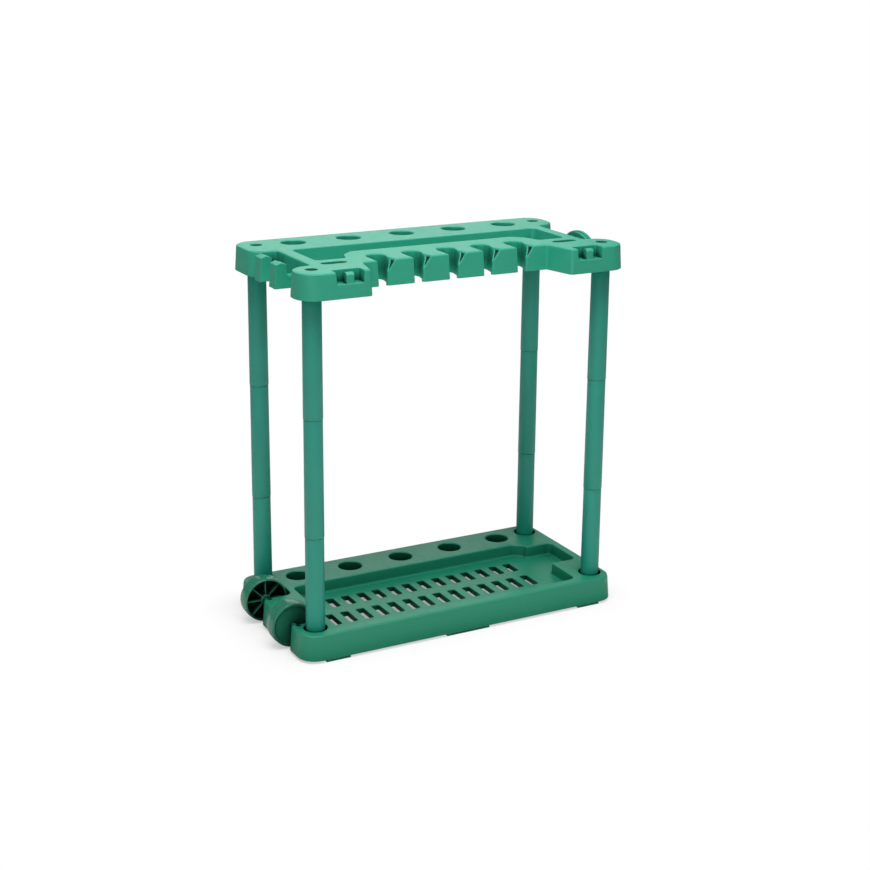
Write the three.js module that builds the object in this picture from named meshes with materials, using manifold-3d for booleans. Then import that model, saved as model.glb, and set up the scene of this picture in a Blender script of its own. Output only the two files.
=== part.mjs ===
// A freestanding garden tool rack in moulded green plastic, in millimetres with +Z up.
// A base tray on feet carries four posts of three plugged sections each, and the posts carry a top rack with
// round holes at the back and a comb of snap notches in front. Two wheels sit at the left end (-X), and a grip
// closes the right end (+X), so the stand tips and rolls like a barrow.
// The origin is on the floor, halfway along the whole stand, wheels included, and midway between the posts.

import * as THREE from 'three';
import { mergeVertices } from 'three/addons/utils/BufferGeometryUtils.js';
import Module from 'manifold-3d';

const wasm = await Module();
wasm.setup();

// Moulding
const wall = 2.6;
const skin = 2.8;
const seat_gap = 0.3;
const cut_overrun = 1;
const facet_sag = 0.36;
const merge_distance = 0.0004;
const least_radius = 0.2;
const skirt_draft_share = 0.079;
const rack_draft_share = 0.062;
const pocket_draft_share = 0.05;
const edge_fillet = 3.2;
const mouth_round = 1.4;
const rib_thickness = 2;

// Post grid, from which both mouldings take their places
const post_pitch_x = 500;
const post_pitch_y = 208.8;

// Post sections, plugged one on the other
const section_length = 185.5;
const sections_per_post = 3;
const section_foot_diameter = 30.1;
const section_top_diameter = 29.1;
const section_foot_bevel = 0.8;
const spigot_diameter = 25.2;
const spigot_length = 22;
const spigot_wall = 2.2;

// Base tray
const foot_height = 4;
const foot_length = 40;
const middle_foot_length = 76;
const foot_depth = 22;
const foot_post_offset = 23;
const foot_plate = 3;
const foot_overlap = 6;
const base_height = 40;
const base_margin_left = 33;
const base_margin_right = 29.2;
const base_margin_y = 36.2;
const base_corner_radius = 29;
const base_post_bore = 38;
const base_socket_floor = 3;

// Wheel wells and the block between them
const well_post_gap = 27.4;
const well_outer_gap = 9.7;
const well_inner_gap = 4.7;
const well_end_gap = 1.2;
const well_corner_radius = 7;
const well_lip_radius = 5;
const middle_block_radius = 14;
const middle_block_overhang = 1;

// Sunk tray and its side channel
const tray_depth = 20;
const tray_floor = 2.6;
const tray_post_gap_left = 32.5;
const tray_post_gap_right = 36;
const tray_front_rim = 23.6;
const tray_cup_gap = 21.25;
const tray_corner_radius = 10;
const tray_corner_cut_x = 18;
const tray_corner_cut_y = 13;
const tray_cut_radius = 7;
const tray_mouth_round = 2.8;
const tray_floor_round = 4;
const channel_rim = 17.2;
const channel_front_y = 43;
const channel_back_y = 38;
const channel_corner_radius = 9;
const channel_inner_radius = 3.4;

// Drain slots in the tray floor
const slot_pitch = 27.8;
const slot_width = 14.5;
const slot_first_gap = 22.5;
const slot_last_gap = 40;
const slot_radius = 3;
const back_slot_length = 35.5;
const back_slot_gap = 46.3;
const front_slot_length = 42;
const front_slot_gap = 68.7;
const floor_rib_height = 8;
const floor_rib_setback = 0.4;

// Cups in the base and holes in the top rack, in line for tool handles
const hole_count = 5;
const hole_post_gap = 60;
const hole_diameter = 39.5;
const hole_row_setback = 4.4;
const cup_depth = 34;
const cup_floor = 2.6;

// Wheels and axle pins
const wheel_radius = 35.5;
const wheel_width = 25;
const wheel_inset_x = 13;
const wheel_floor_clearance = 0.6;
const wheel_crown = 0.8;
const wheel_edge_bevel = 1.6;
const wheel_rim = 2.8;
const wheel_dish_radius = 30;
const wheel_dish_depth = 2.4;
const wheel_web = 2.6;
const wheel_hub_radius = 8.5;
const wheel_rib_count = 8;
const wheel_rib_thickness = 1.8;
const wheel_rib_setback = 1.5;
const axle_diameter = 8;
const axle_clearance = 0.5;
const axle_bevel = 1;
const axle_grip_length = 12;
const axle_tail_length = 8;
const axle_boss_wall = 3;
const axle_view_hole = 9;
const axle_view_hole_inset = 4;

// Top rack
const rack_height = 39;
const rack_collar_recess = 0.8;
const lobe_radius = 30;
const left_lobe_inset_x = 1.5;
const right_lobe_inset_x = 5;
const lobe_offset_y = 6.6;
const rack_post_hole = 19.6;
const rack_collar_wall = 3.4;
const rack_rib_drop = 9;

// Window in the middle of the top rack
const window_post_gap = 33;
const window_hole_gap = 34.25;
const window_face_gap = 40;
const window_corner_radius = 8;
const window_step_gap = 3;
const window_step_radius = 5;
const window_slope_run = 9;
const window_slope_rise = 17;
const window_shoulder_run = 28;
const front_rail_width = 33;
const window_shoulder_radius = 12;

// Bays at both ends
const band_width = 21;
const bay_corner_radius = 6;
const left_bay_back_step = 4;
const left_bay_back_radius = 21;
const left_bay_lobe_lap = 0.6;
const right_bay_back_lobe_gap = 8.4;
const right_bay_front_lobe_gap = 1.4;

// Comb of snap notches along the front rail
const notch_count = 5;
const comb_end_gap = 19.5;
const comb_setback = 53;
const notch_width = 29.6;
const notch_depth = 51;
const notch_rear_radius = 12;
const notch_straight = 16;
const snap_bend_x = 9.8;
const snap_tip_x = 0.3;
const snap_radius = 6;
const tip_radius = 2;
const snap_cut_back = 12;
const snap_cut_drop = 15;
const snap_cut_near_x = 15.7;
const snap_cut_far_x = 13.9;
const snap_cut_low_x = 4.7;
const snap_cutter_size = 34;
const snap_cutter_thickness = 17;

// Front corner blocks with their hook pockets and slots
const block_post_gap = 78;
const block_edge_radius = 4;
const block_root_run = 12;
const block_root_radius = 6;
const pocket_post_gap = 45;
const pocket_width = 46;
const pocket_depth_y = 19;
const pocket_drop = 18;
const pocket_radius = 4;
const peg_width = 12;
const peg_depth = 8;
const peg_drop = 2;
const peg_round = 3;
const peg_lean = 4;
const keyslot_post_gap = 50;
const keyslot_face_gap = 15;
const keyslot_length = 42;
const keyslot_width = 16;
const keyslot_round_share = 0.95;

// J-hooks in the left bay
const hook_near_y = -30;
const hook_far_y = 27;
const hook_width = 23;
const hook_tip_length = 17;
const hook_tip_drop = 0.3;
const hook_crown = 3;
const hook_saddle_drop = 22;
const hook_saddle_radius = 7;
const hook_root_overlap = 3;
const hook_draft_x = 2;

// Arched grip that closes the right bay
const grip_setback = 0.5;
const grip_offset_y = 4.3;
const grip_thickness = 9;
const grip_arch_radius = 63;
const grip_crest_drop = 0.1;
const grip_rail_height = 16;
const grip_bead = 2.2;
const grip_root_share = 0.8;
const grip_wall = 2.4;

// Places of the base tray, from the post grid outwards
const post_x = post_pitch_x / 2;
const post_y = post_pitch_y / 2;
const base_reach_left = post_x + base_margin_left;
const base_reach_right = post_x + base_margin_right;
const base_half_width = post_y + base_margin_y;
const hole_row_y = post_y - hole_row_setback;
const hole_pitch = (post_pitch_x - 2 * hole_post_gap) / (hole_count - 1);
const wheel_centre_x = -base_reach_left + wheel_inset_x;
const well_depth_x = wheel_inset_x + wheel_radius + wheel_crown + well_end_gap;
const well_outer_y = post_y - well_post_gap;
const well_inner_y = well_outer_y - wheel_width - well_outer_gap - well_inner_gap;
const wheel_centre_y = well_outer_y - well_outer_gap - wheel_width / 2;
const tray_left_x = post_x - tray_post_gap_left;
const tray_right_x = post_x - tray_post_gap_right;
const tray_front_y = base_half_width - tray_front_rim;
const tray_back_y = hole_row_y - hole_diameter / 2 - tray_cup_gap;
const channel_reach_x = base_reach_right - channel_rim;
const slot_first_x = -tray_left_x + slot_first_gap;
const slot_columns = 1 + Math.floor((tray_right_x - slot_first_x - slot_last_gap) / slot_pitch);
const back_slot_y = tray_back_y - back_slot_gap;
const front_slot_y = -tray_front_y + front_slot_gap;
const foot_offset_x = post_x - foot_post_offset;

// Places of the top rack
const rack_reach_left = post_x + lobe_radius - left_lobe_inset_x;
const rack_reach_right = post_x + lobe_radius - right_lobe_inset_x;
const rack_half_width = post_y + lobe_radius + lobe_offset_y;
const block_edge_x = post_x - block_post_gap;
const block_root_x = block_edge_x - block_root_run;
const comb_face_y = rack_half_width - comb_setback;
const notch_pitch = (2 * block_root_x - comb_end_gap) / notch_count;
const notch_rear_y = comb_face_y - notch_depth;
const notch_bend_y = notch_rear_y + notch_straight;
const snap_bend_y = comb_face_y - snap_cut_back;
const window_half_length = post_x - window_post_gap;
const window_back_y = hole_row_y - hole_diameter / 2 - window_hole_gap;
const window_front_y = comb_face_y - window_face_gap;
const window_step_x = block_edge_x - window_step_gap;
const window_slope_x = window_step_x - window_slope_run;
const window_shoulder_x = window_step_x - window_shoulder_run;
const window_shoulder_y = notch_rear_y - front_rail_width;
const window_slope_y = window_shoulder_y + window_slope_rise;
const band_outer_x = window_half_length + band_width;
const left_bay_back_y = window_back_y + left_bay_back_step;
const left_bay_front_y = post_y - lobe_radius + left_bay_lobe_lap;
const right_bay_back_y = post_y - lobe_radius - right_bay_back_lobe_gap;
const right_bay_front_y = post_y - lobe_radius - right_bay_front_lobe_gap;
const pocket_centre_x = post_x - pocket_post_gap;
const keyslot_centre_x = post_x - keyslot_post_gap;
const keyslot_centre_y = comb_face_y - keyslot_face_gap;
const grip_outer_x = rack_reach_right - grip_setback;
const grip_root_lap = lobe_radius * grip_root_share;
const grip_centre_y = (right_bay_back_y - right_bay_front_y) / 2 - grip_offset_y;

// Heights above the floor
const base_top = foot_height + base_height;
const section_seat = foot_height + base_socket_floor + seat_gap;
const posts_top = section_seat + sections_per_post * section_length;
const rack_bottom = posts_top + seat_gap - rack_collar_recess;
const rack_top = rack_bottom + rack_height;
const axle_height = wheel_radius + wheel_crown + wheel_floor_clearance;

// Middle of the whole stand along X, between the wheels' rims and the grip end
const wheels_reach = -wheel_centre_x + wheel_radius + wheel_crown;
const rack_foot_reach = rack_reach_right + rack_height * rack_draft_share;
const middle_x = (Math.max(rack_foot_reach, base_reach_right) - wheels_reach) / 2;

// Number of straight facets that keeps an arc within the sag
function facetsFor(radius, angle) {
  const step = 2 * Math.acos(1 - Math.min(facet_sag / radius, 0.5));
  return Math.max(1, Math.ceil(angle / step));
}

function sidesFor(radius) {
  return 4 * facetsFor(radius, Math.PI / 2);
}

// Solids from closed three.js geometries, and back again
function toSolid(geometry) {
  const bare = geometry.index ? geometry.toNonIndexed() : geometry.clone();
  bare.deleteAttribute('normal');
  bare.deleteAttribute('uv');
  const merged = mergeVertices(bare, merge_distance);
  return new wasm.Manifold(new wasm.Mesh({
    numProp: 3,
    vertProperties: new Float32Array(merged.attributes.position.array),
    triVerts: new Uint32Array(merged.index.array),
  }));
}

function toGeometry(solid) {
  const mesh = solid.getMesh();
  const geometry = new THREE.BufferGeometry();
  geometry.setAttribute('position', new THREE.BufferAttribute(mesh.vertProperties, 3));
  geometry.setIndex(new THREE.BufferAttribute(mesh.triVerts, 1));
  geometry.computeVertexNormals();
  return geometry;
}

function joinAll(solids) {
  return solids.reduce((whole, solid) => whole.add(solid));
}

// A corner is [x, y, radius], and a list of corners runs counter-clockwise round the material.
// An inset moves every edge into the material, so outer rounds shrink and inner rounds grow.
function edgeDirections(corners, index) {
  const before = corners[(index + corners.length - 1) % corners.length];
  const here = corners[index];
  const after = corners[(index + 1) % corners.length];
  const arriving = new THREE.Vector2(here[0] - before[0], here[1] - before[1]).normalize();
  const leaving = new THREE.Vector2(after[0] - here[0], after[1] - here[1]).normalize();
  return [arriving, leaving];
}

function insetCorners(corners, inset) {
  return corners.map(([x, y, radius], index) => {
    const [arriving, leaving] = edgeDirections(corners, index);
    const share = inset / (1 + arriving.dot(leaving));
    const turn = Math.sign(arriving.cross(leaving));
    return [
      x - (arriving.y + leaving.y) * share,
      y + (arriving.x + leaving.x) * share,
      radius > 0 ? Math.max(radius - turn * inset, least_radius) : 0,
    ];
  });
}

function arcSteps(corners) {
  return corners.map(([, , radius], index) => {
    const [arriving, leaving] = edgeDirections(corners, index);
    return radius > 0 ? facetsFor(radius, Math.abs(arriving.angleTo(leaving))) : 0;
  });
}

function outlinePoints(corners, steps) {
  const points = [];
  corners.forEach(([x, y, radius], index) => {
    if (steps[index] === 0) {
      points.push(new THREE.Vector2(x, y));
      return;
    }
    const [arriving, leaving] = edgeDirections(corners, index);
    const turn = arriving.cross(leaving) > 0 ? 1 : -1;
    const angle = arriving.angleTo(leaving);
    const tangent = radius * Math.tan(angle / 2);
    const centre_x = x - arriving.x * tangent - turn * arriving.y * radius;
    const centre_y = y - arriving.y * tangent + turn * arriving.x * radius;
    const start = Math.atan2(-turn * arriving.x, turn * arriving.y);
    for (let step = 0; step <= steps[index]; step += 1) {
      const at = start + turn * angle * step / steps[index];
      points.push(new THREE.Vector2(centre_x + radius * Math.cos(at), centre_y + radius * Math.sin(at)));
    }
  });
  return points;
}

// An extrusion whose outline is inset by its own amount at each level, so walls lean and edges round over
function levelledSolid(corners, levels) {
  const steps = arcSteps(corners);
  const base = outlinePoints(corners, steps);
  const rows = levels.map(([, inset]) => outlinePoints(insetCorners(corners, inset), steps));
  const layers = levels.length - 1;
  const geometry = new THREE.ExtrudeGeometry(new THREE.Shape(base), {
    depth: layers,
    steps: layers,
    bevelEnabled: false,
  });
  const keyOf = (x, y) => `${Math.fround(x)},${Math.fround(y)}`;
  const places = new Map(base.map((point, index) => [keyOf(point.x, point.y), index]));
  const position = geometry.attributes.position;
  for (let vertex = 0; vertex < position.count; vertex += 1) {
    const level = Math.round(position.getZ(vertex));
    const point = rows[level][places.get(keyOf(position.getX(vertex), position.getY(vertex)))];
    position.setXYZ(vertex, point.x, point.y, levels[level][0]);
  }
  return toSolid(geometry);
}

// Levels of a moulding that narrows upwards and rounds over at its top edge
function mouldLevels(low, high, draft_share, fillet) {
  const levels = [[low, 0]];
  const steps = fillet > 0 ? facetsFor(fillet, Math.PI / 2) : 0;
  if (steps === 0) {
    levels.push([high, (high - low) * draft_share]);
  }
  for (let step = 0; steps > 0 && step <= steps; step += 1) {
    const angle = Math.PI / 2 * step / steps;
    levels.push([
      high - fillet + fillet * Math.sin(angle),
      (high - fillet - low) * draft_share + fillet * (1 - Math.cos(angle)),
    ]);
  }
  return levels;
}

// Levels of a recess with a rounded floor edge, which widens upwards by its draft and flares at its mouth
function recessLevels(low, high, draft_share, round, floor_round) {
  const opening = (high - low) * draft_share;
  const levels = [[low, opening + floor_round]];
  const floor_steps = floor_round > 0 ? facetsFor(floor_round, Math.PI / 2) : 0;
  for (let step = 1; step <= floor_steps; step += 1) {
    const angle = Math.PI / 2 * step / floor_steps;
    levels.push([
      low + floor_round * (1 - Math.cos(angle)),
      opening + floor_round * (1 - Math.sin(angle) - draft_share * (1 - Math.cos(angle))),
    ]);
  }
  const steps = round > 0 ? facetsFor(round, Math.PI / 2) : 0;
  for (let step = 0; steps > 0 && step <= steps; step += 1) {
    const angle = Math.PI / 2 * step / steps;
    levels.push([
      high - round + round * Math.sin(angle),
      round * draft_share - round * (1 - Math.cos(angle)),
    ]);
  }
  levels.push([high + cut_overrun, -round - (steps > 0 ? 0 : cut_overrun * draft_share)]);
  return levels;
}

function rectangleCorners(centre_x, centre_y, length_x, length_y, radius) {
  const half_x = length_x / 2;
  const half_y = length_y / 2;
  return [
    [centre_x - half_x, centre_y - half_y, radius],
    [centre_x + half_x, centre_y - half_y, radius],
    [centre_x + half_x, centre_y + half_y, radius],
    [centre_x - half_x, centre_y + half_y, radius],
  ];
}

function block(centre_x, centre_y, length_x, length_y, low, high) {
  const geometry = new THREE.BoxGeometry(length_x, length_y, high - low);
  geometry.translate(centre_x, centre_y, (low + high) / 2);
  return toSolid(geometry);
}

// Turned solids: a profile of [radius, height] pairs about a vertical axis
function turned(profile, sides, centre_x, centre_y) {
  const points = profile.map(([radius, height]) => new THREE.Vector2(radius, height));
  const geometry = new THREE.LatheGeometry(points, sides);
  geometry.rotateX(Math.PI / 2);
  geometry.translate(centre_x, centre_y, 0);
  return toSolid(geometry);
}

function cylinder(radius, low, high, centre_x, centre_y) {
  return turned([[0, low], [radius, low], [radius, high], [0, high]], sidesFor(radius), centre_x, centre_y);
}

// A round cutter whose mouth flares at the top face
function flaredBore(radius, low, top, centre_x, centre_y) {
  return turned([
    [0, low],
    [radius, low],
    [radius, top - mouth_round],
    [radius + mouth_round, top],
    [radius + mouth_round, top + cut_overrun],
    [0, top + cut_overrun],
  ], sidesFor(radius), centre_x, centre_y);
}

function postPlaces() {
  const places = [];
  for (const side of [-1, 1]) {
    for (const depth of [-1, 1]) {
      places.push({
        name: `${depth < 0 ? 'front' : 'rear'}_${side < 0 ? 'left' : 'right'}`,
        x: side * post_pitch_x / 2,
        y: depth * post_pitch_y / 2,
      });
    }
  }
  return places;
}

function holeCentres() {
  const centres = [];
  for (let index = 0; index < hole_count; index += 1) {
    centres.push((index - (hole_count - 1) / 2) * hole_pitch);
  }
  return centres;
}

// Base tray

function baseOutline() {
  const well_x = -base_reach_left + well_depth_x;
  return [
    [-base_reach_left, -base_half_width, base_corner_radius],
    [base_reach_right, -base_half_width, base_corner_radius],
    [base_reach_right, base_half_width, base_corner_radius],
    [-base_reach_left, base_half_width, base_corner_radius],
    [-base_reach_left, well_outer_y, well_lip_radius],
    [well_x, well_outer_y, well_corner_radius],
    [well_x, well_inner_y, well_corner_radius],
    [-base_reach_left - middle_block_overhang, well_inner_y, middle_block_radius],
    [-base_reach_left - middle_block_overhang, -well_inner_y, middle_block_radius],
    [well_x, -well_inner_y, well_corner_radius],
    [well_x, -well_outer_y, well_corner_radius],
    [-base_reach_left, -well_outer_y, well_lip_radius],
  ];
}

function trayOutline() {
  return [
    [-tray_left_x, -tray_front_y, tray_corner_radius],
    [tray_right_x, -tray_front_y, tray_corner_radius],
    [tray_right_x, -channel_front_y, channel_inner_radius],
    [channel_reach_x, -channel_front_y, channel_corner_radius],
    [channel_reach_x, channel_back_y, channel_corner_radius],
    [tray_right_x, channel_back_y, channel_inner_radius],
    [tray_right_x, tray_back_y - tray_corner_cut_y, tray_cut_radius],
    [tray_right_x - tray_corner_cut_x, tray_back_y, tray_cut_radius],
    [-tray_left_x, tray_back_y, tray_corner_radius],
  ];
}

function slotCutters() {
  const floor_top = base_top - tray_depth;
  const low = floor_top - tray_floor - cut_overrun;
  const cutters = [];
  for (let column = 0; column < slot_columns; column += 1) {
    const x = slot_first_x + column * slot_pitch;
    for (const [y, length] of [[back_slot_y, back_slot_length], [front_slot_y, front_slot_length]]) {
      const corners = rectangleCorners(x, y, slot_width, length, slot_radius);
      cutters.push(levelledSolid(corners, [[low, 0], [floor_top + cut_overrun, 0]]));
    }
  }
  return cutters;
}

// Ribs under the tray floor stand along the back edge of each row of slots and the right edge of each column
function floorRibs() {
  const top = base_top - tray_depth - tray_floor / 2;
  const low = top - floor_rib_height;
  const length = tray_left_x + tray_right_x;
  const centre_x = (tray_right_x - tray_left_x) / 2;
  const span_y = tray_front_y + tray_back_y;
  const centre_y = (tray_back_y - tray_front_y) / 2;
  const beside = floor_rib_setback + rib_thickness / 2;
  const ribs = [];
  for (const [y, slot_length] of [[back_slot_y, back_slot_length], [front_slot_y, front_slot_length]]) {
    ribs.push(block(centre_x, y + slot_length / 2 + beside, length, rib_thickness, low, top));
  }
  for (let column = 0; column < slot_columns; column += 1) {
    const x = slot_first_x + column * slot_pitch + slot_width / 2 + beside;
    ribs.push(block(x, centre_y, rib_thickness, span_y, low, top));
  }
  return ribs;
}

// Webs that tie the sockets and the cup row to the skirt, standing inside the hollow
function baseWebs() {
  const webs = [];
  const low = foot_height + cut_overrun;
  for (const place of postPlaces()) {
    webs.push(block(place.x, place.y, base_corner_radius * 2, rib_thickness, low, base_top));
    webs.push(block(place.x, place.y, rib_thickness, base_corner_radius * 2, low, base_top));
  }
  for (let index = 0; index < hole_count - 1; index += 1) {
    const x = (index - hole_count / 2 + 1) * hole_pitch;
    webs.push(block(x, (tray_back_y + base_half_width) / 2, rib_thickness, base_half_width - tray_back_y, low,
      base_top));
  }
  return webs;
}

// The foot plates close the hollow where the stand touches the floor
function feet() {
  const solids = [];
  for (const side of [-1, 1]) {
    for (const [x, length] of [
      [-foot_offset_x, foot_length],
      [0, middle_foot_length],
      [foot_offset_x, foot_length],
    ]) {
      const centre_y = side * (base_half_width - wall / 2 - foot_depth / 2);
      const outer = block(x, centre_y, length, foot_depth, 0, foot_height + foot_overlap);
      const inner = block(x, centre_y, length - 2 * foot_plate, foot_depth - 2 * foot_plate, foot_plate,
        foot_height + foot_overlap + cut_overrun);
      solids.push(outer.subtract(inner));
    }
  }
  return solids;
}

// Each axle pin is held in the wall of its well and in a short boss behind that wall
function axleSpans() {
  return [
    { name: 'front', low: -well_outer_y - axle_grip_length, high: -well_inner_y + axle_tail_length },
    { name: 'rear', low: well_inner_y - axle_grip_length, high: well_outer_y + axle_tail_length },
  ];
}

function alongY(radius, low, high) {
  const geometry = new THREE.CylinderGeometry(radius, radius, high - low, sidesFor(radius));
  geometry.translate(wheel_centre_x, (low + high) / 2, axle_height);
  return toSolid(geometry);
}

function axleBosses() {
  const radius = axle_diameter / 2 + seat_gap + axle_boss_wall;
  return axleSpans().map((span) => alongY(radius, span.low, span.high + wall));
}

function axleBores() {
  const radius = axle_diameter / 2 + seat_gap;
  return axleSpans().map((span) => alongY(radius, span.low - seat_gap, span.high + seat_gap));
}

function axleViewHoles() {
  return axleSpans().map((span) => cylinder(axle_view_hole / 2, axle_height, base_top + cut_overrun,
    wheel_centre_x, span.low + axle_view_hole_inset));
}

function buildBaseTray() {
  const outline = baseOutline();
  const inner = insetCorners(outline, wall);
  const ceiling = base_top - skin;
  const floor_top = base_top - tray_depth;
  const cup_low = base_top - cup_depth;
  const socket_low = section_seat - seat_gap;
  const bore_radius = base_post_bore / 2;
  const outer = levelledSolid(outline, mouldLevels(foot_height, base_top, skirt_draft_share, edge_fillet));
  const hollow_levels = [
    [foot_height - cut_overrun, -cut_overrun * skirt_draft_share],
    [ceiling, (ceiling - foot_height) * skirt_draft_share],
  ];
  const hollow = levelledSolid(inner, hollow_levels);
  const kept = [
    levelledSolid(insetCorners(trayOutline(), -wall), [[floor_top - tray_floor, 0], [base_top, 0]]),
    ...floorRibs(),
    ...baseWebs(),
    ...axleBosses(),
  ];
  for (const x of holeCentres()) {
    kept.push(cylinder(hole_diameter / 2 + wall, cup_low - cup_floor, base_top, x, hole_row_y));
  }
  for (const place of postPlaces()) {
    kept.push(cylinder(bore_radius + wall, foot_height, base_top, place.x, place.y));
  }
  let tray = outer.subtract(hollow.subtract(joinAll(kept)));
  tray = joinAll([tray, ...feet()]);
  const cuts = [
    levelledSolid(trayOutline(), recessLevels(floor_top, base_top, pocket_draft_share, tray_mouth_round,
      tray_floor_round)),
    ...slotCutters(),
    ...axleBores(),
    ...axleViewHoles(),
  ];
  for (const x of holeCentres()) {
    cuts.push(flaredBore(hole_diameter / 2, cup_low, base_top, x, hole_row_y));
  }
  for (const place of postPlaces()) {
    cuts.push(cylinder(bore_radius, socket_low, base_top + cut_overrun, place.x, place.y));
  }
  tray = tray.subtract(joinAll(cuts));
  const pegs = postPlaces().map((place) => cylinder(spigot_diameter / 2, socket_low - base_socket_floor / 2,
    socket_low + spigot_length, place.x, place.y));
  return joinAll([tray, ...pegs]);
}

// Posts

// One section: a slightly tapered tube whose foot slips over the spigot of the piece below
function buildPostSection() {
  const foot_radius = section_foot_diameter / 2;
  const top_radius = section_top_diameter / 2;
  const spigot_radius = spigot_diameter / 2;
  const socket_radius = spigot_radius + seat_gap;
  const bore_radius = spigot_radius - spigot_wall;
  const socket_top = spigot_length + seat_gap;
  const length = section_length - seat_gap;
  const tip = section_length + spigot_length - seat_gap;
  return turned([
    [socket_radius, 0],
    [foot_radius - section_foot_bevel, 0],
    [foot_radius, section_foot_bevel],
    [top_radius, length],
    [spigot_radius, length],
    [spigot_radius, tip],
    [bore_radius, tip],
    [bore_radius, socket_top + spigot_wall],
    [socket_radius, socket_top],
    [socket_radius, 0],
  ], sidesFor(foot_radius), 0, 0);
}

// Wheels and pins

// The closed face lies at +height of the profile and the ribbed hollow opens below it
function buildWheel(facing) {
  const half = wheel_width / 2;
  const bore = axle_diameter / 2 + axle_clearance;
  const rim_inner = wheel_radius - wheel_rim;
  const face = half - wheel_dish_depth;
  const geometry = new THREE.LatheGeometry([
    [bore, -half + wheel_rib_setback],
    [wheel_hub_radius, -half + wheel_rib_setback],
    [wheel_hub_radius, face - wheel_web],
    [rim_inner, face - wheel_web],
    [rim_inner, -half],
    [wheel_radius - wheel_edge_bevel, -half],
    [wheel_radius, -half + wheel_edge_bevel],
    [wheel_radius + wheel_crown, 0],
    [wheel_radius, half - wheel_edge_bevel],
    [wheel_radius - wheel_edge_bevel, half],
    [wheel_dish_radius + wheel_edge_bevel, half],
    [wheel_dish_radius, face],
    [bore, face],
    [bore, -half + wheel_rib_setback],
  ].map(([radius, height]) => new THREE.Vector2(radius, height)), sidesFor(wheel_radius));
  const ribs = [];
  const rib_length = rim_inner - wheel_hub_radius + wheel_rim;
  const rib_height = wheel_width - wheel_dish_depth - wheel_rib_setback * 2 - wheel_web / 2;
  for (let index = 0; index < wheel_rib_count; index += 1) {
    const rib = new THREE.BoxGeometry(rib_length, rib_height, wheel_rib_thickness);
    rib.translate((rim_inner + wheel_hub_radius) / 2, -half + wheel_rib_setback * 2 + rib_height / 2, 0);
    rib.rotateY(index * 2 * Math.PI / wheel_rib_count);
    ribs.push(toSolid(rib));
  }
  const shape = toGeometry(joinAll([toSolid(geometry), ...ribs]));
  if (facing < 0) {
    shape.rotateZ(Math.PI);
  }
  return shape;
}

function buildAxlePin(span) {
  const radius = axle_diameter / 2;
  const half = (span.high - span.low) / 2;
  return new THREE.LatheGeometry([
    [0, -half],
    [radius - axle_bevel, -half],
    [radius, -half + axle_bevel],
    [radius, half - axle_bevel],
    [radius - axle_bevel, half],
    [0, half],
  ].map(([r, height]) => new THREE.Vector2(r, height)), sidesFor(radius));
}

// Top rack

function notchCentres() {
  const centres = [];
  for (let index = 0; index < notch_count; index += 1) {
    centres.push((index - (notch_count - 1) / 2) * notch_pitch);
  }
  return centres;
}

// Outline at the lower edge of the rack, so that the leaning walls reach the measured sizes at the top
function rackOutline() {
  const corners = [
    [-rack_reach_left, -rack_half_width, lobe_radius],
    [-block_edge_x, -rack_half_width, block_edge_radius],
    [-block_root_x, -comb_face_y, block_root_radius],
  ];
  for (const x of notchCentres()) {
    corners.push([x - notch_width / 2, -comb_face_y, tip_radius]);
    corners.push([x - notch_width / 2, -notch_rear_y, notch_rear_radius]);
    corners.push([x + notch_width / 2, -notch_rear_y, notch_rear_radius]);
    corners.push([x + notch_width / 2, -notch_bend_y, snap_radius]);
    corners.push([x + snap_bend_x, -snap_bend_y, snap_radius]);
    corners.push([x + snap_tip_x, -comb_face_y, tip_radius]);
  }
  corners.push(
    [block_root_x, -comb_face_y, block_root_radius],
    [block_edge_x, -rack_half_width, block_edge_radius],
    [rack_reach_right, -rack_half_width, lobe_radius],
    [rack_reach_right, -right_bay_front_y, lobe_radius],
    [band_outer_x, -right_bay_front_y, bay_corner_radius],
    [band_outer_x, right_bay_back_y, bay_corner_radius],
    [rack_reach_right, right_bay_back_y, lobe_radius],
    [rack_reach_right, rack_half_width, lobe_radius],
    [-rack_reach_left, rack_half_width, lobe_radius],
    [-rack_reach_left, left_bay_back_y, left_bay_back_radius],
    [-band_outer_x, left_bay_back_y, bay_corner_radius],
    [-band_outer_x, -left_bay_front_y, bay_corner_radius],
    [-rack_reach_left, -left_bay_front_y, lobe_radius],
  );
  return insetCorners(corners, -rack_height * rack_draft_share);
}

function windowOutline() {
  return [
    [-window_half_length, -window_front_y, window_corner_radius],
    [-window_step_x, -window_front_y, window_step_radius],
    [-window_slope_x, -window_slope_y, window_step_radius],
    [-window_shoulder_x, -window_shoulder_y, window_shoulder_radius],
    [window_shoulder_x, -window_shoulder_y, window_shoulder_radius],
    [window_slope_x, -window_slope_y, window_step_radius],
    [window_step_x, -window_front_y, window_step_radius],
    [window_half_length, -window_front_y, window_corner_radius],
    [window_half_length, window_back_y, window_corner_radius],
    [-window_half_length, window_back_y, window_corner_radius],
  ];
}

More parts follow.
